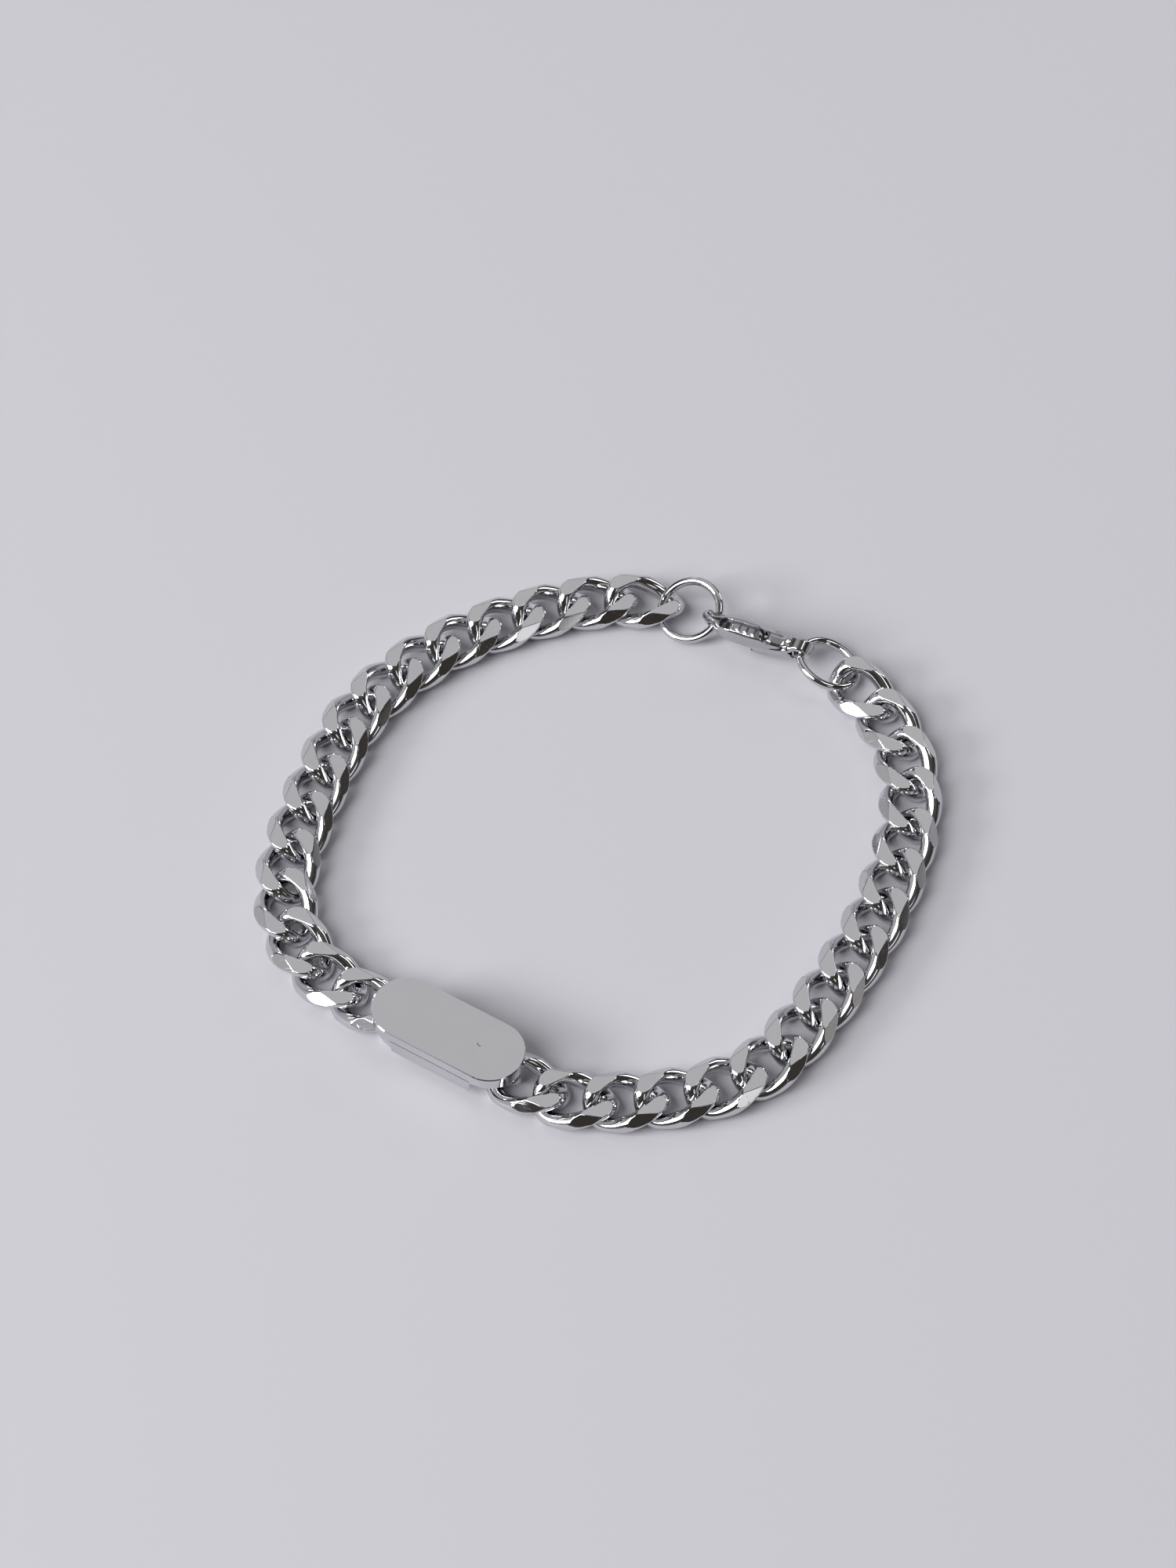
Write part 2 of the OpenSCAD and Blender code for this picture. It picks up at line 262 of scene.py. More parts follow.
ROUTE = Route()


# -------- materials


def add_node(
    tree: Tree, kind: str, inputs: dict | None = None, **options: object
) -> bpy.types.Node:
    """Adds a shader node.

    Args:
        tree: The tree that it goes in.
        kind: Its type, without the word ShaderNode in front.
        inputs: For each input a value, or the output that is linked to it.
        options: The node's own options, which are set first.

    Returns:
        The node.
    """
    node = tree.nodes.new(f"ShaderNode{kind}")
    for name, value in options.items():
        setattr(node, name, value)
    for name, value in (inputs or {}).items():
        if isinstance(value, Socket):
            tree.links.new(value, node.inputs[name])
        else:
            node.inputs[name].default_value = value
    return node


def calculate(tree: Tree, operation: str, *values: object) -> Socket:
    """What a Math node makes of some values and outputs."""
    return add_node(tree, "Math", dict(enumerate(values)), operation=operation).outputs["Value"]


def eased_share(tree: Tree, value: Socket, low: float, high: float) -> Socket:
    """How far an output has come from low to high, with a gentle start and end."""
    inputs = {"Value": value, "From Min": low, "From Max": high}
    return add_node(tree, "MapRange", inputs, interpolation_type="SMOOTHSTEP").outputs["Result"]


def mixed(tree: Tree, share: Socket, under: object, over: object) -> Socket:
    """One colour laid over another by a share."""
    inputs = {"Factor": share, "A": under, "B": over}
    return add_node(tree, "Mix", inputs, data_type="RGBA").outputs["Result"]


class Groups:
    """Shader node groups that the materials share."""

    @staticmethod
    def _start(name: str, inputs: dict[str, float], outputs: tuple[str, ...]) -> tuple:
        """Starts a group with float sockets.

        Args:
            name: The group's name.
            inputs: Input sockets and their defaults.
            outputs: Output sockets.

        Returns:
            The group, its input node and its output node.
        """
        tree = bpy.data.node_groups.new(name, "ShaderNodeTree")
        for key, value in inputs.items():
            socket = tree.interface.new_socket(key, in_out="INPUT", socket_type="NodeSocketFloat")
            socket.default_value = value
        for key in outputs:
            tree.interface.new_socket(key, in_out="OUTPUT", socket_type="NodeSocketFloat")
        return tree, tree.nodes.new("NodeGroupInput"), tree.nodes.new("NodeGroupOutput")

    @classmethod
    def scratches(cls, scale: float = 220.0, rare: Pair = (0.66, 0.74)) -> Tree:
        """Hair-thin scratches in several directions.

        Args:
            scale: Scale of the noise that they are drawn from.
            rare: Where in the noise a scratch starts and where it is full.

        Returns:
            The group. Height is the scratches' relief and Haze their blur.
        """
        tree, start, end = cls._start("fine_scratches", {"Amount": 1.0}, ("Height", "Haze"))
        coords = add_node(tree, "TexCoord").outputs["Object"]
        total = None
        for turn, stretch, seed in ((0.35, 26.0, 1.0), (-0.9, 22.0, 5.0), (1.7, 30.0, 9.0)):
            spun = add_node(tree, "Mapping", {"Vector": coords, "Rotation": (0.3, 0.2, turn)})
            drawn = add_node(tree, "Mapping", {
                "Vector": spun.outputs["Vector"],
                "Location": (seed, seed, 0),
                "Scale": (1.0, stretch, stretch * 0.3),
            })
            inputs = {"Vector": drawn.outputs["Vector"], "Scale": scale, "Detail": 2.0}
            noise = add_node(tree, "TexNoise", inputs)
            line = eased_share(tree, noise.outputs["Fac"], *rare)
            total = line if total is None else calculate(tree, "MAXIMUM", total, line)
        amount = calculate(tree, "MULTIPLY", total, start.outputs["Amount"])
        tree.links.new(calculate(tree, "MULTIPLY", amount, -1.0), end.inputs["Height"])
        tree.links.new(amount, end.inputs["Haze"])
        return tree

    @classmethod
    def handling(cls, smeared: Pair = (0.45, 0.75)) -> Tree:
        """Soft smears of handling.

        Args:
            smeared: Where in the noise a smear starts and where it is full.

        Returns:
            The group. Haze blurs the polish and Tone shades the metal a little.
        """
        tree, start, end = cls._start("handling_smears", {"Scale": 300.0}, ("Haze", "Tone"))
        broad = add_node(tree, "TexNoise", {
            "Vector": add_node(tree, "TexCoord").outputs["Object"],
            "Scale": start.outputs["Scale"],
            "Detail": 3.0,
            "Distortion": 0.8,
        }).outputs["Fac"]
        tree.links.new(eased_share(tree, broad, *smeared), end.inputs["Haze"])
        tree.links.new(broad, end.inputs["Tone"])
        return tree

    @classmethod
    def nick(
        cls, middle: Triple, radius: float, width: float, inward: Pair = (0.8, 0.6),
        fade: float = 0.8,
    ) -> Tree:
        """One short curved nick, as a mask.

        Args:
            middle: Its middle, in metres.
            radius: Radius of its curve, in metres.
            width: Its width, in metres.
            inward: Direction to the centre of its curve.
            fade: From where its ends fade out, as a share of the radius.

        Returns:
            The group, whose Mask is 1 in the nick.
        """
        tree, _, end = cls._start("curved_nick", {}, ("Mask",))
        coords = add_node(tree, "TexCoord").outputs["Object"]
        x, y, z = middle
        centre = (x + radius * inward[0], y + radius * inward[1], z)
        nodes = (
            add_node(tree, "VectorMath", {0: coords, 1: point}, operation="DISTANCE")
            for point in (middle, centre)
        )
        from_middle, from_centre = (node.outputs["Value"] for node in nodes)
        off_curve = calculate(tree, "ABSOLUTE", calculate(tree, "SUBTRACT", from_centre, radius))
        on_curve = eased_share(tree, off_curve, width, 0.0)
        within = eased_share(tree, from_middle, radius, radius * fade)
        tree.links.new(calculate(tree, "MULTIPLY", on_curve, within), end.inputs["Mask"])
        return tree


@dataclass(frozen=True)
class Steel:
    """A polished steel finish.

    Attributes:
        name: The material's name.
        light: Its colour where it is cleanest.
        dark: Its colour where it is most handled.
        polish: Roughness of the clean polish.
        haze: Roughness that smears add.
        wear: Roughness that scratches add.
        relief: Depth of the scratches, in metres.
        relief_strength: Share of that depth which shows.
        nicked: Its colour in a nick.
    """

    name: str
    light: Triple
    dark: Triple
    polish: float = 0.06
    haze: float = 0.05
    wear: float = 0.12
    relief: float = 0.000002
    relief_strength: float = 0.5
    nicked: Triple = (0.12, 0.12, 0.12)

    def build(self, scratches: Tree, handling: Tree, nick: Tree | None = None) -> Material:
        """Makes the material.

        Args:
            scratches: The group of fine scratches.
            handling: The group of smears.
            nick: The group of a single nick, which is dark.

        Returns:
            The material.
        """
        material = bpy.data.materials.new(self.name)
        material.use_nodes = True
        tree = material.node_tree
        shader = tree.nodes["Principled BSDF"]
        shader.inputs["Metallic"].default_value = 1.0
        smears = add_node(tree, "Group", node_tree=handling)
        lines = add_node(tree, "Group", node_tree=scratches)
        colour = mixed(tree, smears.outputs["Tone"], (*self.light, 1.0), (*self.dark, 1.0))
        if nick:
            mark = add_node(tree, "Group", node_tree=nick)
            colour = mixed(tree, mark.outputs["Mask"], colour, (*self.nicked, 1.0))
        tree.links.new(colour, shader.inputs["Base Color"])
        blur = calculate(tree, "MULTIPLY_ADD", smears.outputs["Haze"], self.haze, self.polish)
        worn = calculate(tree, "MULTIPLY_ADD", lines.outputs["Haze"], self.wear, blur)
        tree.links.new(worn, shader.inputs["Roughness"])
        bump = add_node(tree, "Bump", {
            "Strength": self.relief_strength,
            "Distance": self.relief,
            "Height": lines.outputs["Height"],
        })
        tree.links.new(bump.outputs["Normal"], shader.inputs["Normal"])
        return material


# -------- chain


@dataclass(frozen=True)
class CurbLink:
    """A twisted link of round wire, ground flat above and below and bevelled along its sides.

    Attributes:
        length: Its length.
        width: Its width before it is ground.
        wire: Thickness of its wire.
        height: Height that the grinder leaves.
        twist: How far each end is twisted, in degrees.
        squareness: Power of its oval, where 2 is an ellipse.
        bevel_start: From its middle to where the bevels meet the flats.
        stations: Points along its wire.
        sides: Points round its wire.
        rim: Width of the eased edge of each flat.
        rim_drop: How far that edge is eased down.
        fine: Points that its length is measured with.
        on_plane: Points this near a cut lie on it.
        merge: Points this near to each other become one.
        flat_corners: A flat that is cut has more corners than this.
        flat_match: Least cosine between its normal and the cut's.
    """

    length: float = 9.2
    width: float = 7.0
    wire: float = 1.8
    height: float = 3.0
    twist: float = 45.0
    squareness: float = 2.6
    bevel_start: float = 2.4
    stations: int = 112
    sides: int = 24
    rim: float = 0.06
    rim_drop: float = 0.035
    fine: int = 1440
    on_plane: float = 0.0005
    merge: float = 0.004
    flat_corners: int = 8
    flat_match: float = 0.9995

    def centre(self, t: float) -> tuple[Vector, float]:
        """A point of the wire's middle line, and the twist there in radians."""
        a = (self.length - self.wire) / 2
        b = (self.width - self.wire) / 2
        x = a * signed_power(math.cos(t), 2 / self.squareness)
        w = b * signed_power(math.sin(t), 2 / self.squareness)
        turn = -math.radians(self.twist) * x / a
        return Vector((x, w * math.cos(turn), w * math.sin(turn))), turn

    def even_parameters(self) -> list[float]:
        """Parameters of the middle line at even distances along it."""
        ts = [2 * math.pi * i / self.fine for i in range(self.fine + 1)]
        run = [0.0]
        for i in range(self.fine):
            run.append(run[-1] + (self.centre(ts[i + 1])[0] - self.centre(ts[i])[0]).length)
        goals = [run[-1] * k / self.stations for k in range(self.stations)]
        return np.interp(goals, run, ts).tolist()

    def swept(self) -> BMesh:
        """The bare twisted link."""
        bm = bmesh.new()
        params = self.even_parameters()
        centres = [self.centre(t) for t in params]
        rings = []
        for i, (p, turn) in enumerate(centres):
            along = (centres[(i + 1) % self.stations][0] - centres[i - 1][0]).normalized()
            side = along.cross(Vector((0, -math.sin(turn), math.cos(turn)))).normalized()
            up = side.cross(along)
            ring = []
            for k in range(self.sides):
                c = 2 * math.pi * k / self.sides
                away = math.cos(c) * side + math.sin(c) * up
                ring.append(bm.verts.new(p + self.wire / 2 * away))
            rings.append(ring)
        close_tube(bm, rings)
        return bm

    def cuts(self) -> list[tuple[Vector, Vector]]:
        """A point and the outward normal of each flat that the grinder leaves."""
        h = self.height / 2
        planes = [(Vector((0, 0, up * h)), Vector((0, 0, up))) for up in (1, -1)]
        for side in (1, -1):
            for up in (1, -1):
                start = Vector((0, side * self.bevel_start, up * h))
                planes.append((start, Vector((0, side, up)).normalized()))
        return planes

    def build(self, extra: list[tuple[Vector, Vector]] | None = None) -> BMesh:
        """The finished link.

        Args:
            extra: More planes to cut with, after the flats. What lies beyond is taken away.

        Returns:
            The link's mesh in its own frame.
        """
        bm = self.swept()
        planes = self.cuts() + (extra or [])
        for point, normal in planes:
            bmesh.ops.bisect_plane(
                bm, geom=bm.verts[:] + bm.edges[:] + bm.faces[:], dist=self.on_plane,
                plane_co=point, plane_no=normal, clear_outer=True,
            )
            rim = [e for e in bm.edges if len(e.link_faces) == 1]
            bmesh.ops.holes_fill(bm, edges=rim, sides=0)
        bmesh.ops.remove_doubles(bm, verts=bm.verts[:], dist=self.merge)
        bmesh.ops.recalc_face_normals(bm, faces=bm.faces)
        for _, normal in planes:
            faces = [
                f for f in bm.faces
                if len(f.verts) > self.flat_corners and f.normal.dot(normal) > self.flat_match
            ]
            if not faces:
                continue
            outer = {v for f in faces for v in f.verts}
            bmesh.ops.inset_individual(bm, faces=faces, thickness=self.rim, depth=0)
            for v in outer:
                v.co -= normal * self.rim_drop
        return bm


@dataclass(frozen=True)
class Chain:
    """The two runs of links.

    Attributes:
        link: The link that they are made of.
        reach: How far each way a link looks along the line for its heading.
    """

    link: CurbLink = field(default_factory=CurbLink)
    reach: float = 2.7

    def build(self, steel: Material) -> list[Piece]:
        """Makes one piece a link."""
        pieces = []
        prototype = self.link.build()
        for side in Side:
            for number in range(1, ROUTE.side_links + 1):
                node = f"link_{side.value}_{number:02d}"
                station = ROUTE.link_station(side, number)
                place = ROUTE.pose(station, self.link.height / 2, self.reach)
                piece = new_piece(f"curb_{node}", prototype.copy(), place)
                dress(piece, steel, Slot.LINK, BRACELET_BODY, node)
                pieces.append(piece)
        prototype.free()
        return pieces


# -------- plate


@dataclass(frozen=True)
class NamePlate:
    """The plain plate: a cap over a block, with a half link soldered into each end.

    Attributes:
        length: The cap's length.
        width: The width of cap and block.
        cap: The cap's thickness.
        block: The block's height under the cap.
        under_cap: Height of the cap's underside.
        block_half: Half of the block's length.
        overlap: How far the block reaches into the cap.
        loop_tip: From the plate's middle to the tip of a half link.
        loop_wire: Thickness of the half links' wire.
        loop_root: How far they reach into the block.
        loop_inset: How much narrower they are on each side than a link.
        edge: Width of the eased edges.
        arc: Steps of each round end.
        crease: Angle from which an edge stays sharp, in degrees.
    """

    length: float = 17.7
    width: float = 7.4
    cap: float = 1.6
    block: float = 1.65
    under_cap: float = 3.1
    block_half: float = 4.8
    overlap: float = 0.3
    loop_tip: float = 8.75
    loop_wire: float = 1.5
    loop_root: float = 1.0
    loop_inset: float = 0.1
    edge: float = 0.09
    arc: int = 48
    crease: float = 26

    def stadium(self, reach: float) -> list[Pair]:
        """The plate's outline cut off at a reach on each side of its middle."""
        r = self.width / 2
        centre = self.length / 2 - r
        points = []
        for side in (1, -1):
            for k in range(self.arc + 1):
                angle = math.radians(-90 + 180 * k / self.arc)
                x = side * (centre + r * math.cos(angle))
                y = side * r * math.sin(angle)
                points.append((max(-reach, min(reach, x)), y))
        return points

    def slab(self, outline: list[Pair], low: float, high: float) -> BMesh:
        """An upright slab with eased edges."""
        bm = bmesh.new()
        base = [bm.verts.new((x, y, low)) for x, y in outline]
        bmesh.ops.remove_doubles(bm, verts=base, dist=0.001)
        bottom = bm.faces.new(list(bm.verts))
        risen = bmesh.ops.extrude_face_region(bm, geom=[bottom])["geom"]
        for v in (g for g in risen if isinstance(g, bmesh.types.BMVert)):
            v.co.z = high
        bmesh.ops.recalc_face_normals(bm, faces=bm.faces)
        rims = [e for e in bm.edges if abs(e.verts[0].co.z - e.verts[1].co.z) < 0.001]
        corners = [
            e for e in bm.edges
            if abs(e.verts[0].co.z - e.verts[1].co.z) > 0.001 and e.calc_face_angle(0) > 0.5
        ]
        bmesh.ops.bevel(
            bm, geom=rims + corners, offset=self.edge, segments=1, profile=0.5, affect="EDGES",
            clamp_overlap=True,
        )
        return bm

    def half_link(self, end: int) -> BMesh:
        """The half link at one end, in the plate's frame."""
        reach = self.loop_tip - self.block_half + self.loop_root
        length = 2 * (reach + self.loop_wire)
        width = CurbLink.width - 2 * self.loop_inset
        link = CurbLink(length=length, width=width, wire=self.loop_wire)
        shift = end * (self.loop_tip - length / 2)
        root = Vector((end * (length / 2 - reach), 0, 0))
        bm = link.build([(root, Vector((-end, 0, 0)))])
        bmesh.ops.translate(bm, verts=bm.verts[:], vec=(shift, 0, CurbLink.height / 2))
        return bm

    def build(self, steel: Material) -> Piece:
        """Makes the plate as one piece."""
        whole = bmesh.new()
        seam = self.under_cap
        parts = [
            self.slab(self.stadium(self.length), seam, seam + self.cap),
            self.slab(self.stadium(self.block_half), seam - self.block, seam + self.overlap),
            self.half_link(1),
            self.half_link(-1),
        ]
        for part in parts:
            bmesh.ops.recalc_face_normals(part, faces=part.faces)
            mesh = bpy.data.meshes.new("part")
            part.to_mesh(mesh)
            part.free()
            whole.from_mesh(mesh)
            bpy.data.meshes.remove(mesh)
        piece = new_piece("name_plate", whole, ROUTE.pose(0, 0, self.length / 4), weighted=False)
        piece.data.set_sharp_from_angle(angle=math.radians(self.crease))
        dress(piece, steel, Slot.PLATE, BRACELET_BODY, "id_plate")
        return piece


# -------- jump rings


@dataclass(frozen=True)
class JumpRing:
    """A closed ring of round wire with a fine seam where its ends meet.

    Attributes:
        side: The run of links that it ends.
        offset: From its place on the chain's line to its middle.
        tilt: Its tilt about x and y, in degrees.
        seam_at: Where its seam is, in degrees.
        diameter: Its outer diameter.
        wire: Thickness of its wire.
        seam: Half of the seam's width.
        seam_depth: Depth of the seam, as a share of the wire.
        around: Points round the ring.
        sides: Points round its wire.
    """

    side: Side
    offset: Triple
    tilt: Pair
    seam_at: float
    diameter: float = 7.8
    wire: float = 0.95
    seam: float = 0.05
    seam_depth: float = 0.1
    around: int = 160
    sides: int = 28

    def place(self) -> Matrix:
        """Where the ring lies."""
        sign = -1 if self.side is Side.LEFT else 1
        p = ROUTE.place(sign * ROUTE.ring_station())
        middle = Vector((*p, 0)) + Vector(self.offset)
        tilt_x, tilt_y = self.tilt
        return Matrix.Translation(middle) @ turned(tilt_y, "Y") @ turned(tilt_x, "X")

    def build(self, steel: Material) -> Piece:
        """Makes the ring."""
        bm = bmesh.new()
        big, small = (self.diameter - self.wire) / 2, self.wire / 2
        rings = []
        for i in range(self.around):
            a = 2 * math.pi * i / self.around
            away = abs((a - math.radians(self.seam_at) + math.pi) % (2 * math.pi) - math.pi) * big
            pinched = small * (1 - self.seam_depth * math.exp(-(away / self.seam) ** 2))
            ring = []
            for k in range(self.sides):
                c = 2 * math.pi * k / self.sides
                r = big + pinched * math.cos(c)
                point = (r * math.cos(a), r * math.sin(a), pinched * math.sin(c))
                ring.append(bm.verts.new(point))
            rings.append(ring)
        close_tube(bm, rings)
        piece = new_piece(f"ring_{self.side.value}", bm, self.place(), weighted=False)
        dress(piece, steel, Slot.RING, BRACELET_BODY, f"jump_ring_{self.side.value}")
        return piece


# -------- rounded solids


def from_table(table: Table, at: Array) -> Array:
    """Values read from a table of places and values, in a straight line between its rows."""
    return np.interp(at, *np.array(table).T)


def blend_min(a: Array, b: Array, reach: float) -> Array:
    """The smaller of two distances, rounded where they meet."""
    h = np.maximum(reach - np.abs(a - b), 0) / reach
    return np.minimum(a, b) - h * h * reach / 4


def blend_max(a: Array, b: Array, reach: float) -> Array:
    """The larger of two distances, rounded where they meet."""
    return -blend_min(-a, -b, reach)


def eased_both(a: Array, b: Array, radius: Array | float) -> Array:
    """What lies inside two shapes at once, with an edge of the given radius."""
    corner = np.hypot(np.maximum(a + radius, 0), np.maximum(b + radius, 0))
    return np.minimum(np.maximum(a, b), -radius) + corner


def oval_distance(x: Array, z: Array, half_l: float, half_h: float, power: float) -> Array:
    """Distance from a squarish oval in the plane of x and z.

    Args:
        x: Offsets from its middle along its length.
        z: Offsets from its middle along its height.
        half_l: Half of its length.
        half_h: Half of its height.
        power: 2 is an ellipse, more is squarer.

    Returns:
        The distances, negative inside.
    """
    u, v = np.abs(x) / half_l, np.abs(z) / half_h
    total = np.maximum(u ** power + v ** power, 1e-9)
    steepness = np.hypot(u ** (power - 1) / half_l, v ** (power - 1) / half_h)
    slope = total ** (1 / power - 1) * steepness
    return (total ** (1 / power) - 1) / np.maximum(slope, 1e-6)


@dataclass(frozen=True)
class Skin:
    """The surface where a field of distances is zero.

    Attributes:
        solid: Gives the distance of points from the surface, negative inside.
        low: Lowest corner of the box that holds it.
        high: Highest corner.
        step: Size of the mesh's cells.
        reach: How far each way the field's slope is measured.
        rounds: How often its points are drawn to the surface.
    """

    solid: Field
    low: Triple
    high: Triple
    step: float = 0.06
    reach: float = 0.015
    rounds: int = 3

    def slope(self, points: Array) -> Array:
        """The field's gradient at some points."""
        columns = []
        for axis in range(3):
            shift = np.zeros(3)
            shift[axis] = self.reach
            columns.append(self.solid(*(points + shift).T) - self.solid(*(points - shift).T))
        return np.stack(columns, axis=1) / (2 * self.reach)

    def net(self) -> tuple[Array, list[tuple[int, ...]]]:
        """Points of the surface, one in each cell that it passes, and the faces between them."""
        axes = [np.arange(lo, hi + self.step, self.step) for lo, hi in zip(self.low, self.high)]
        values = self.solid(*np.meshgrid(*axes, indexing="ij"))
        total = np.zeros((*values.shape, 3))
        count = np.zeros(values.shape)
        rims = []
        for axis in range(3):
            size = values.shape[axis] - 1
            near = np.take(values, range(size), axis)
            far = np.take(values, range(1, size + 1), axis)
            crossed = (near < 0) != (far < 0)
            index = np.argwhere(crossed)
            point = index.astype(float)
            point[:, axis] += near[crossed] / (near[crossed] - far[crossed])
            across, beside = (k for k in range(3) if k != axis)
            rim = []
            for a, b in ((0, 0), (1, 0), (1, 1), (0, 1)):
                cell = index.copy()
                cell[:, across] -= a
                cell[:, beside] -= b
                np.add.at(total, tuple(cell.T), point)
                np.add.at(count, tuple(cell.T), 1)
                rim.append(cell)
            rims.append((rim, (near[crossed] < 0) != (axis == 1)))
        used = count > 0
        number = np.cumsum(used).reshape(used.shape) - 1
        points = total[used] / count[used][:, None] * self.step + np.array(self.low)
        faces = []
        for rim, outward in rims:
            corners = np.stack([number[tuple(cell.T)] for cell in rim], axis=1)
            corners[~outward] = corners[~outward][:, ::-1]
            faces.extend(map(tuple, corners.tolist()))
        return points, faces

    def build(self, name: str, place: Matrix) -> Piece:
        """Makes the piece.

        Args:
            name: The piece's name.
            place: Where it goes, in millimetres.

        Returns:
            The linked object, shaded with the field's own normals.
        """
        points, faces = self.net()
        for _ in range(self.rounds):
            slope = self.slope(points)
            size = np.maximum((slope ** 2).sum(axis=1), 0.1)
            move = slope * (self.solid(*points.T) / size)[:, None]
            points = points - np.clip(move, -self.step / 2, self.step / 2)
        normals = self.slope(points)
        normals /= np.maximum(np.linalg.norm(normals, axis=1), 1e-6)[:, None]
        mesh = bpy.data.meshes.new(f"{name}_net")
        mesh.from_pydata(points.tolist(), [], faces)
        bm = bmesh.new()
        bm.from_mesh(mesh)
        bpy.data.meshes.remove(mesh)
        piece = new_piece(name, bm, place, weighted=False)
        turn = np.array(place.to_3x3())
        piece.data.normals_split_custom_set_from_vertices((normals @ turn.T).tolist())
        return piece


# -------- clasp


@dataclass(frozen=True)
class Rounding:
    """How gently the clasp's faces run into each other, by the place where they meet."""

    neck: float = 0.3
    facet: float = 0.32
    belly: float = 0.8
    groove: float = 0.03
    root: float = 0.3
    root_side: float = 0.12
    root_joint: float = 0.3
    eye: float = 0.3
    eye_joint: float = 0.4
    opening: float = 0.35
    mouth: float = 0.2
    slot: float = 0.06
    bore: float = 0.05
    boss: float = 0.12
    lever: float = 0.1
    lever_side: float = 0.14
    lever_bore: float = 0.04
    rivet: float = 0.16


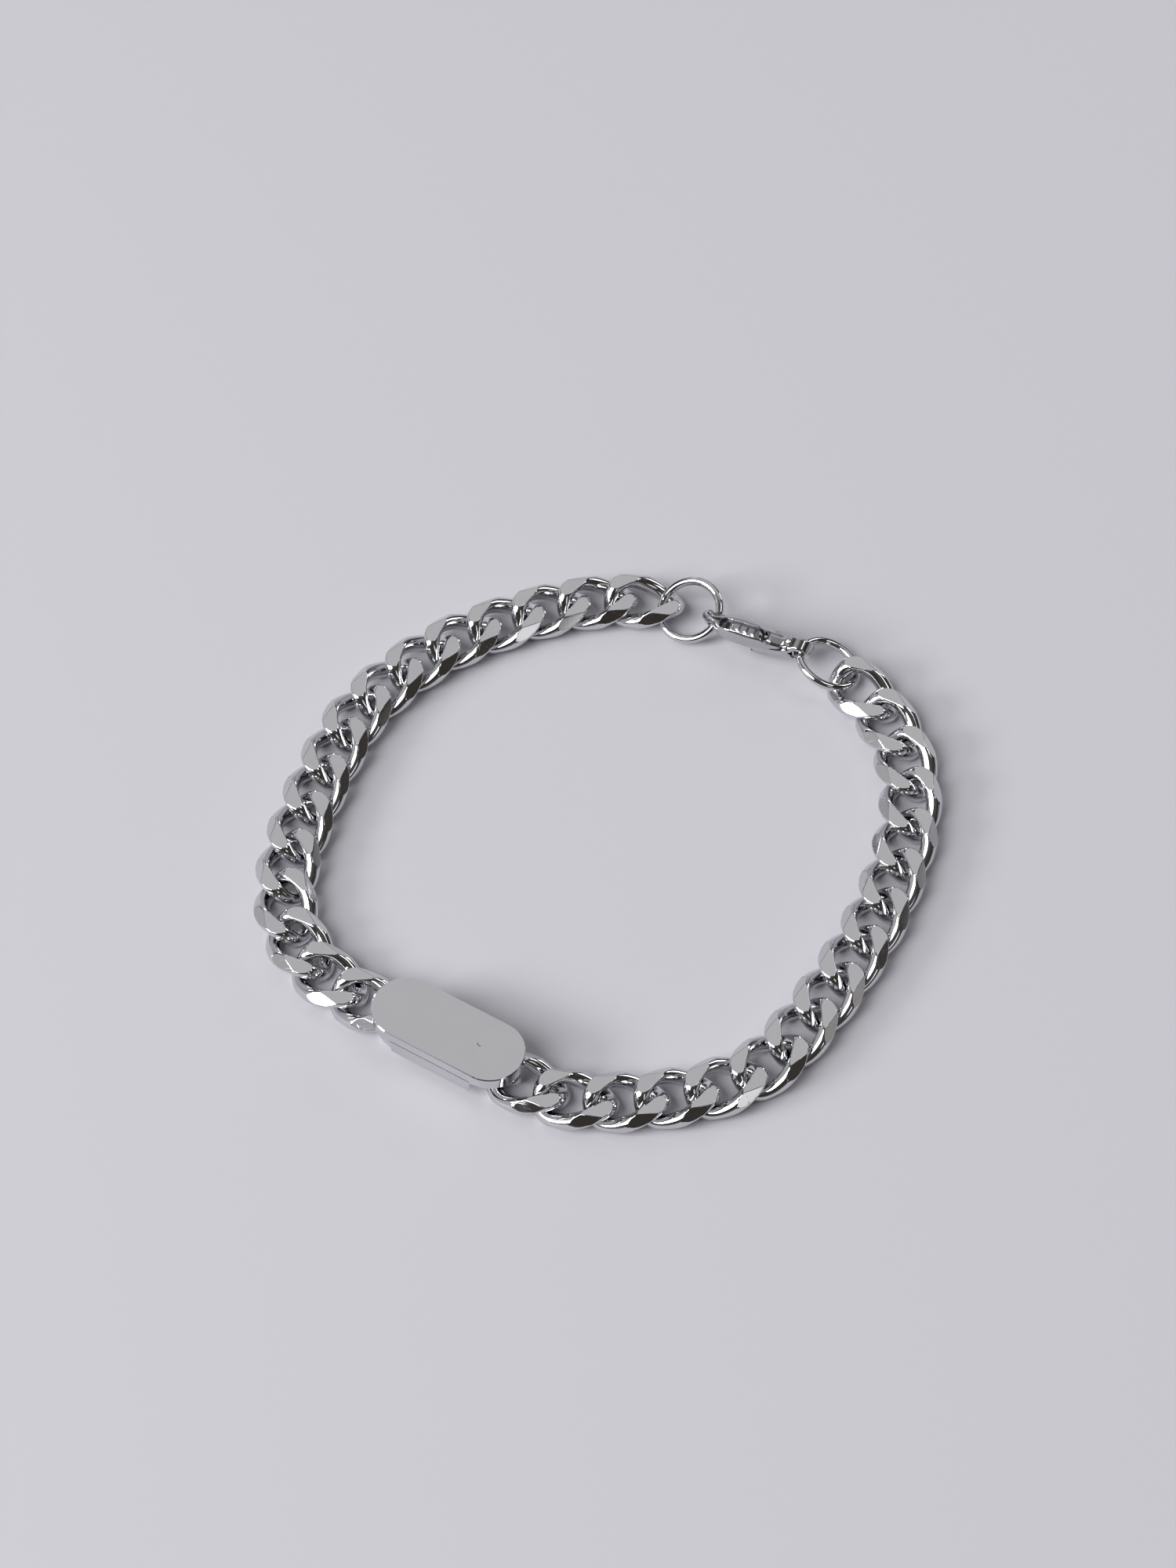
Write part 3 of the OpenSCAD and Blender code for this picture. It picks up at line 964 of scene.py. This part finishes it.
@dataclass(frozen=True)
class Clasp:
    """A lobster clasp: x runs from its nose to its eye, z from its lever to its back.

    Attributes:
        nose: Where its nose is.
        body_l: Length of the hook and back.
        height: Their height.
        power: Power of their oval outline, where 2 is an ellipse.
        nose_drop: How much lower the back is at the nose, as a share.
        nose_slope: Where it starts to sink and over what length.
        opening: Middle, half length and half height of the opening.
        opening_power: Power of the opening's oval.
        hook_tip: Where the mouth starts, at the hook's tip.
        mouth_end: Where the mouth ends.
        mouth_top: Top of the mouth.
        rivet: The rivet's middle.
        rivet_d: The rivet's diameter.
        rivet_l: The rivet's length.
        bore_gap: Room round the rivet in the body and in the lever.
        hub_r: Radius of the lever's hub.
        hub_gap: Room round the hub and before the lever's tip.
        lever_t: The lever's thickness.
        lever_gap: Room on each side of the lever.
        arm_top: Top of the lever's arm.
        swing_slope: Rise of the slot towards the hook's tip, where the lever swings in.
        eye_seat: Middle of the eye.
        eye_r: From there to the middle of its wire.
        eye_wire: Thickness of its wire.
        eye_half: Half of its width across the clasp.
        facet_tilt: Tilt of the facets beside the groove, in degrees.
        groove: Middle, length and width of the groove in the back.
        groove_depth: Its depth.
        groove_undercut: How much it widens with its depth.
        bars: Where the row of bars on its floor starts and ends.
        bar_pitch: From bar to bar.
        bar_rise: Height of the bars.
        bar_half: Half of their length across the groove.
        bar_wave: Level and swing of the wave that shapes them.
        bar_ease: Length over which their ends rise.
        boss: Place along, place across, height and radius of the two bosses.
        root: Middle, half length and half height of the block between back and eye.
        ridge_lean: How far the back leans to the near side.
        lean_span: Where along the clasp the lean starts, is full, starts to end and ends.
        lean_soft: Height over which it sets in.
        back_rise: How much higher than its oval the back is, as a share.
        back_skew: How far the step behind the groove slants.
        neck: Height of the back behind the groove, by station.
        neck_slope: Steepness of the step there.
        middle_z: Height of its middle over the floor.
        from_route: From its place on the chain's line to its middle.
        turn: Its turn from that line, in degrees.
        lean: How far it leans over, in degrees.
        tip: How far its nose is lifted, in degrees.
        thickness: Its thickness across, by distance from the nose.
        crest: Half width of the crest between the facets, by station.
        bow: How far it bows to the near side, by station.
        bow_span: Heights between which the bow sets in.
        samples: Points at which the thickness is worked out.
        smoothing: How many of them are averaged.
        spare: Length past both ends that they cover.
        body_box: Box that holds the body.
        lever_box: Box that holds the lever.
        rivet_room: Room round the rivet in its box.
        rivet_step: Size of the cells of the rivet's mesh.
        ease: How gently its faces meet.
    """

    nose: float = -6.7
    body_l: float = 10.85
    height: float = 5.4
    power: float = 2.326
    nose_drop: float = 0.22
    nose_slope: Pair = (-2.2, 3.0)
    opening: tuple[float, float, float, float] = (-2.825, -0.3, 2.975, 1.4)
    opening_power: float = 2.5
    hook_tip: float = -4.52
    mouth_end: float = -0.45
    mouth_top: float = -0.23
    rivet: Pair = (1.4, -1.15)
    rivet_d: float = 1.0
    rivet_l: float = 2.6
    bore_gap: Pair = (0.02, 0.05)
    hub_r: float = 1.15
    hub_gap: float = 0.12
    lever_t: float = 1.1
    lever_gap: float = 0.1
    arm_top: float = -0.35
    swing_slope: float = 0.27
    eye_seat: float = 5.05
    eye_r: float = 1.275
    eye_wire: float = 0.75
    facet_tilt: float = 43.5
    eye_half: float = 0.82
    groove: Triple = (-1.0, 5.8, 1.15)
    groove_depth: float = 0.58
    bars: Pair = (-2.5, 1.1)
    bar_pitch: float = 0.9
    bar_rise: float = 0.42
    bar_half: float = 0.38
    bar_wave: Pair = (0.3, 1.5)
    bar_ease: float = 0.1
    groove_undercut: float = 0.3
    boss: tuple[float, float, float, float] = (4.0, 0.42, 1.2, 0.32)
    root: Triple = (3.4, 1.25, 1.15)
    ridge_lean: float = 0.21
    lean_span: tuple[float, float, float, float] = (-7.6, -5.0, 3.2, 5.0)
    lean_soft: float = 0.6
    back_rise: float = 0.12
    back_skew: float = 0.4
    neck: Table = (
        (0.7, 3.6), (1.1, 2.9), (1.65, 2.1), (2.1, 1.85), (4.3, 1.2), (5.0, 1.9),
    )
    neck_slope: float = 0.75
    middle_z: float = 2.97
    from_route: Pair = (0.25, 0.14)
    turn: float = -1.9
    lean: float = 15.7
    tip: float = 2.7
    thickness: Table = (
        (0.0, 1.6), (0.45, 2.05), (0.85, 2.05), (1.2, 1.6), (1.5, 1.35), (2.05, 1.5), (2.5, 2.1),
        (2.95, 2.6), (3.6, 3.05), (4.6, 3.4), (5.4, 3.5), (6.3, 3.35), (7.2, 3.1), (8.0, 2.85),
        (8.9, 2.55), (9.9, 2.25), (10.9, 2.0),
    )
    crest: Table = (
        (-6.7, 0.35), (-5.3, 0.3), (-4.2, 0.5), (-3.0, 0.64), (1.2, 0.64), (2.0, 0.74),
        (3.2, 0.85), (4.2, 0.8),
    )
    bow: Table = (
        (-5.9, 0.0), (-4.9, 0.28), (-3.9, 0.48), (-2.9, 0.48), (-1.5, 0.42), (0.9, 0.34),
        (3.3, 0.22), (4.8, 0.1), (6.2, 0.0),
    )
    bow_span: Pair = (-2.2, -0.8)
    samples: int = 480
    smoothing: int = 25
    spare: float = 1.0
    body_box: tuple[Triple, Triple] = ((-6.95, -3.1, -2.95), (6.95, 2.05, 3.2))
    lever_box: tuple[Triple, Triple] = ((-4.6, -0.7, -2.9), (2.7, 0.7, 0.2))
    rivet_room: float = 0.15
    rivet_step: float = 0.05
    ease: Rounding = Rounding()

    def place(self) -> Matrix:
        """Where the clasp lies, between the rings."""
        run = ROUTE.ring_station() + ROUTE.ring_r
        hook, eye = ROUTE.place(-run), ROUTE.place(run)
        along = eye - hook
        middle = hook + along * ROUTE.hook_seat / (ROUTE.hook_seat + ROUTE.eye_seat)
        middle += Vector(self.from_route)
        yaw = math.degrees(math.atan2(along.y, along.x)) + self.turn
        laid = turned(yaw, "Z") @ turned(-self.tip, "Y") @ turned(self.lean, "X")
        return Matrix.Translation((*middle, self.middle_z)) @ laid

    def half_width(self, x: Array) -> Array:
        """Half of the back's thickness along the clasp."""
        even = np.linspace(-self.spare, self.body_l + self.spare, self.samples)
        coarse = np.pad(from_table(self.thickness, even), self.smoothing // 2, mode="edge")
        kernel = np.hanning(self.smoothing)
        smooth = np.convolve(coarse, kernel / kernel.sum(), mode="valid")
        return np.interp(x - self.nose, even, smooth) / 2

    def outline(self, x: Array, z: Array) -> Array:
        """Distance from the clasp's outline in side view. Its back slopes down to the nose."""
        start, length = self.nose_slope
        share = np.clip((start - x) / length, 0, 1)
        drop = self.nose_drop * share * share * (3 - 2 * share) - self.back_rise
        lowered = np.where(z > 0, z / (1 - drop), z)
        half_l = self.body_l / 2
        return oval_distance(x - self.nose - half_l, lowered, half_l, self.height / 2, self.power)

    def leaned(self, x: Array, y: Array, z: Array) -> Array:
        """The offset across the clasp, which bows to the near side and has a leaning ridge."""
        bow = from_table(self.bow, x) * np.interp(z, self.bow_span, (0, 1))
        fade = np.interp(x, self.lean_span, (0, 1, 1, 0))
        return y + bow + self.ridge_lean * fade * (np.hypot(z, self.lean_soft) + z) / 2

    def hole(self, x: Array, z: Array) -> Array:
        """Distance from the opening that the ring hangs in."""
        mid_x, mid_z, half_l, half_h = self.opening
        return oval_distance(x - mid_x, z - mid_z, half_l, half_h, self.opening_power)

    def hub(self, x: Array, z: Array) -> Array:
        """Distance from the rivet's middle."""
        return np.hypot(x - self.rivet[0], z - self.rivet[1])

    def groove_field(self, x: Array, y: Array, z: Array, side: Array) -> Array:
        """Distance from the groove in the back.

        Args:
            x: Places along the clasp.
            y: Places across its leaning ridge.
            z: Heights.
            side: Distances from the back's outline in side view.

        Returns:
            The distances. A row of plain low bars stands on the groove's floor.
        """
        middle, length, width = self.groove
        beyond = np.maximum(np.abs(x - middle) - (length - width) / 2, 0)
        stadium = np.hypot(beyond, y) - width / 2 + self.groove_undercut * side
        first, last = self.bars
        phase = 2 * np.pi * (x - (first + last) / 2) / self.bar_pitch
        level, swing = self.bar_wave
        bars = np.clip(level + swing * np.cos(phase), 0, 1)
        for inset in (np.minimum(x - first, last - x), self.bar_half - np.abs(y)):
            bars = bars * np.clip(inset / self.bar_ease, 0, 1)
        floor = self.groove_depth - self.bar_rise * bars
        return np.maximum(np.maximum(stadium, -(side + floor)), -z)

    def slot_field(self, x: Array, y: Array, z: Array) -> Array:
        """Distance from the slot that the lever sits and swings in."""
        reach = self.hub_r + self.hub_gap
        rise = self.swing_slope * np.maximum(self.rivet[0] - x, 0)
        arm = np.maximum(
            np.maximum(self.hook_tip - x, x - self.rivet[0]), z - self.arm_top - self.hub_gap - rise
        )
        below = np.maximum(np.abs(x - self.rivet[0]) - reach, z - self.rivet[1])
        profile = np.minimum(np.minimum(arm, self.hub(x, z) - reach), below)
        return np.maximum(profile, np.abs(y) - self.lever_t / 2 - self.lever_gap)

    def back_field(self, x: Array, over: Array, z: Array) -> Array:
        """The solid back and hook with facets and groove, before the opening is cut."""
        behind = z - from_table(self.neck, x + self.back_skew * over)
        side = blend_max(self.outline(x, z), behind * self.neck_slope, self.ease.neck)
        tilt = math.radians(self.facet_tilt)
        beside = np.abs(over) - from_table(self.crest, x)
        facet = beside * math.sin(tilt) + side * math.cos(tilt)
        solid = blend_max(side, facet, self.ease.facet)
        solid = blend_max(solid, np.abs(over) - self.half_width(x), self.ease.belly)
        return blend_max(solid, -self.groove_field(x, over, z, side), self.ease.groove)

    def body_field(self, x: Array, y: Array, z: Array) -> Array:
        """The hook, the back and the eye."""
        over = self.leaned(x, y, z)
        ease = self.ease
        root_x, root_l, root_h = self.root
        block = blend_max(np.abs(x - root_x) - root_l, np.abs(z) - root_h, ease.root)
        block = eased_both(block, np.abs(over) - self.half_width(x), ease.root_side)
        solid = blend_min(self.back_field(x, over, z), block, ease.root_joint)
        ring = np.hypot(x - self.eye_seat, z) - self.eye_r
        eye = eased_both(ring - self.eye_wire / 2, np.abs(over) - self.eye_half, ease.eye)
        solid = blend_min(solid, eye, ease.eye_joint)
        mouth = np.maximum(self.hook_tip - x, x - self.mouth_end)
        for cut, rounding in (
            (ring + self.eye_wire / 2, ease.eye),
            (self.hole(x, z), ease.opening),
            (np.maximum(mouth, z - self.mouth_top), ease.mouth),
            (self.slot_field(x, y, z), ease.slot),
            (self.hub(x, z) - self.rivet_d / 2 - self.bore_gap[0], ease.bore),
        ):
            solid = blend_max(solid, -cut, rounding)
        boss_x, boss_y, boss_z, boss_r = self.boss
        across = np.abs(over) - boss_y
        boss = np.sqrt((x - boss_x) ** 2 + across ** 2 + (z - boss_z) ** 2) - boss_r
        return blend_min(solid, boss, ease.boss)

    def lever_field(self, x: Array, y: Array, z: Array) -> Array:
        """The lever's arm and its hub."""
        start = self.hook_tip + self.hub_gap
        arm = np.maximum(np.maximum(start - x, x - self.rivet[0]), z - self.arm_top)
        ease = self.ease
        arm = blend_max(arm, self.outline(x, z), ease.lever)
        arm = blend_max(arm, -self.hole(x, z), ease.lever)
        hub = self.hub(x, z)
        shape = blend_min(arm, hub - self.hub_r, ease.lever)
        solid = eased_both(shape, np.abs(y) - self.lever_t / 2, ease.lever_side)
        return blend_max(solid, self.rivet_d / 2 + self.bore_gap[1] - hub, ease.lever_bore)

    def rivet_field(self, x: Array, y: Array, z: Array) -> Array:
        """The rivet, with slightly domed ends."""
        pin = self.hub(x, z) - self.rivet_d / 2
        return eased_both(pin, np.abs(y) - self.rivet_l / 2, self.ease.rivet)

    def build(self, cast: Material, sprung: Material, pin: Material) -> list[Piece]:
        """Makes the clasp.

        Args:
            cast: Material of the body.
            sprung: Material of the lever.
            pin: Material of the rivet.

        Returns:
            The body, the lever and the rivet.
        """
        place = self.place()
        rivet_x, rivet_z = self.rivet
        reach = self.rivet_d / 2 + self.rivet_room
        across = self.rivet_l / 2 + self.rivet_room
        low = (rivet_x - reach, -across, rivet_z - reach)
        high = (rivet_x + reach, across, rivet_z + reach)
        body = Skin(self.body_field, *self.body_box).build("clasp_hook", place)
        lever = Skin(self.lever_field, *self.lever_box).build("lever", place)
        rivet = Skin(self.rivet_field, low, high, self.rivet_step).build("rivet", place)
        dress(body, cast, Slot.CLASP, BRACELET_BODY, "clasp_body")
        dress(lever, sprung, Slot.LEVER, LEVER_BODY, "clasp_lever")
        dress(rivet, pin, Slot.RIVET, BRACELET_BODY, "clasp_rivet")
        return [body, lever, rivet]


# -------- setting


@dataclass(frozen=True)
class Patch:
    """A soft round patch of the room.

    Attributes:
        azimuth: Its direction from +x, in degrees.
        height: Its height over the horizon, in degrees.
        core: Radius of its even middle, in degrees.
        rim: Radius where it has faded out, in degrees.
        shade: Its colour.
    """

    azimuth: float
    height: float
    core: float
    rim: float
    shade: Triple

    def add(self, tree: Tree, toward: Socket, under: Socket) -> Socket:
        """Lays the patch over a colour.

        Args:
            tree: The world's node tree.
            toward: The direction that is looked in.
            under: The colour so far.

        Returns:
            The colour with the patch.
        """
        turn, rise = math.radians(self.azimuth), math.radians(self.height)
        middle = (
            math.cos(rise) * math.cos(turn), math.cos(rise) * math.sin(turn), math.sin(rise),
        )
        nearness = add_node(tree, "VectorMath", {0: toward, 1: middle}, operation="DOT_PRODUCT")
        rim, core = (math.cos(math.radians(angle)) for angle in (self.rim, self.core))
        share = eased_share(tree, nearness.outputs["Value"], rim, core)
        return mixed(tree, share, under, (*self.shade, 1))


@dataclass(frozen=True)
class Lamp:
    """An area light that looks at the bracelet.

    Attributes:
        name: Its name.
        direction: Where it stands, seen from the bracelet.
        size: Its width and height, in metres.
        power: Its power, in watts.
        distance: How far away it stands, in metres.
    """

    name: str
    direction: Triple
    size: Pair
    power: float
    distance: float = 0.8

    def build(self) -> None:
        """Makes the light."""
        data = bpy.data.lights.new(self.name, "AREA")
        data.shape = "RECTANGLE"
        data.size, data.size_y = self.size
        data.energy = self.power
        lamp = new_object(self.name, data)
        away = Vector(self.direction).normalized()
        lamp.location = away * self.distance
        lamp.rotation_euler = away.to_track_quat("Z", "Y").to_euler()


@dataclass(frozen=True)
class Setting:
    """Floor, lights and camera.

    Attributes:
        camera: The camera's place, in metres.
        camera_pitch: Its tilt from straight down, in degrees.
        lens: Its focal length, in millimetres.
        sensor: Its sensor's width, in millimetres.
        floor_colour: The floor's colour.
        floor_rough: The floor's roughness.
        floor_half: Half of the floor's side, in metres.
        sky: Colours of the room by the height looked at, from the horizon up.
        patches: Soft patches in the room, which the faces of the steel mirror.
        lamps: The area lights.
        key_direction: Where the soft key light stands.
        key_power: Its power, in watts a square metre.
        key_spread: The width of its disc, in degrees.
    """

    camera: Triple = (-0.001357, -0.265146, 0.395512)
    camera_pitch: float = 34.7
    lens: float = 100.8
    sensor: float = 36.0
    floor_colour: Triple = (0.55, 0.543, 0.585)
    floor_rough: float = 0.85
    floor_half: float = 3.0
    sky: tuple[tuple[float, Triple], ...] = (
        (0.0, (0.40, 0.40, 0.43)), (0.12, (0.34, 0.34, 0.36)), (0.2, (0.055, 0.05, 0.046)),
        (0.66, (0.042, 0.036, 0.032)), (0.84, (0.08, 0.078, 0.075)), (1.0, (0.10, 0.10, 0.10)),
    )
    patches: tuple[Patch, ...] = (
        Patch(90, 55, 23, 35, (0.60, 0.60, 0.61)),
        Patch(90, 8, 14, 30, (0.42, 0.42, 0.46)),
        Patch(176, 12, 20, 42, (0.50, 0.50, 0.51)),
        Patch(216, 23, 4, 8, (0.42, 0.43, 0.46)),
        Patch(306, 34, 5, 9, (1.0, 1.0, 1.0)),
        Patch(352, 17, 4, 9, (0.34, 0.33, 0.32)),
    )
    lamps: tuple[Lamp, ...] = (
        Lamp("window", (-0.88, -0.27, 0.39), (0.34, 0.17), 4.0),
        Lamp("back", (-0.15, 0.93, 0.35), (0.1, 0.06), 0.04),
        Lamp("side", (0.57, 0.05, 0.82), (0.25, 0.25), 0.4),
        Lamp("spark", (0.72, 0.56, 0.41), (0.2, 0.2), 0.35),
    )
    key_direction: Triple = (-0.55, -0.35, 0.75)
    key_power: float = 2.2
    key_spread: float = 40.0

    def floor(self) -> None:
        """A plain pale floor."""
        bm = bmesh.new()
        bmesh.ops.create_grid(bm, x_segments=1, y_segments=1, size=self.floor_half)
        mesh = bpy.data.meshes.new("floor")
        bm.to_mesh(mesh)
        bm.free()
        floor = new_object("floor", mesh)
        material = bpy.data.materials.new("pale_floor")
        material.use_nodes = True
        shader = material.node_tree.nodes["Principled BSDF"]
        shader.inputs["Base Color"].default_value = (*self.floor_colour, 1.0)
        shader.inputs["Roughness"].default_value = self.floor_rough
        mesh.materials.append(material)

    def world(self) -> None:
        """A dim room with soft pale patches."""
        world = bpy.data.worlds.new("studio")
        bpy.context.scene.world = world
        world.use_nodes = True
        tree = world.node_tree
        background = tree.nodes["Background"]
        toward = add_node(tree, "TexCoord").outputs["Generated"]
        axes = add_node(tree, "SeparateXYZ", {"Vector": toward})
        room = add_node(tree, "ValToRGB", {"Fac": axes.outputs["Z"]})
        stops = room.color_ramp.elements
        (_, stops[0].color), *between, (_, stops[1].color) = (
            (position, (*shade, 1)) for position, shade in self.sky
        )
        for position, shade in between:
            stops.new(position).color = shade
        colour = room.outputs["Color"]
        for patch in self.patches:
            colour = patch.add(tree, toward, colour)
        tree.links.new(colour, background.inputs["Color"])
        background.inputs["Strength"].default_value = 1.0

    def key(self) -> None:
        """A soft high light from the near left, which throws the short shadows."""
        data = bpy.data.lights.new("soft_key", "SUN")
        data.energy = self.key_power
        data.angle = math.radians(self.key_spread)
        lamp = new_object("soft_key", data)
        lamp.rotation_euler = Vector(self.key_direction).to_track_quat("Z", "Y").to_euler()

    def build(self) -> None:
        """Sets up everything round the bracelet."""
        self.floor()
        self.world()
        self.key()
        for lamp in self.lamps:
            lamp.build()
        data = bpy.data.cameras.new("camera")
        data.lens = self.lens
        data.sensor_width = self.sensor
        camera = new_object("camera", data)
        camera.location = self.camera
        camera.rotation_euler = (math.radians(self.camera_pitch), 0, 0)
        bpy.context.scene.camera = camera
        bpy.context.scene.view_settings.view_transform = "Standard"


# -------- main


def main() -> None:
    """Builds every piece in order and reports it."""
    logging.basicConfig(level=logging.INFO, format="%(message)s")
    groups = Groups.scratches(), Groups.handling()
    nick = Groups.nick((-0.01277, -0.02755, 0.0047), 0.00032, 0.00009)
    link_steel = Steel(Slot.LINK.value, (0.70, 0.70, 0.71), (0.64, 0.64, 0.66))
    plate_steel = Steel(Slot.PLATE.value, (0.70, 0.70, 0.715), (0.66, 0.66, 0.68))
    ring_steel = Steel(Slot.RING.value, (0.66, 0.66, 0.68), (0.6, 0.6, 0.62))
    clasp_steel = Steel(Slot.CLASP.value, (0.58, 0.58, 0.60), (0.51, 0.51, 0.53), polish=0.08)
    lever_steel = Steel(Slot.LEVER.value, (0.62, 0.62, 0.64), (0.55, 0.55, 0.57), polish=0.1)
    rivet_steel = Steel(Slot.RIVET.value, (0.6, 0.6, 0.61), (0.52, 0.52, 0.53), polish=0.12)
    pieces = Chain().build(link_steel.build(*groups))
    pieces.append(NamePlate().build(plate_steel.build(*groups, nick)))
    ring_material = ring_steel.build(*groups)
    pieces.append(JumpRing(Side.LEFT, (-0.1, 0.08, 2.19), (18, -18), 150).build(ring_material))
    pieces.append(JumpRing(Side.RIGHT, (0.3, -0.04, 2.17), (-7.4, 21.3), 60).build(ring_material))
    clasp_materials = (finish.build(*groups) for finish in (clasp_steel, lever_steel, rivet_steel))
    pieces.extend(Clasp().build(*clasp_materials))
    for piece in pieces:
        LOG.info("%s: %d faces", piece.name, len(piece.data.polygons))
    Setting().build()


if __name__ == "__main__":
    main()
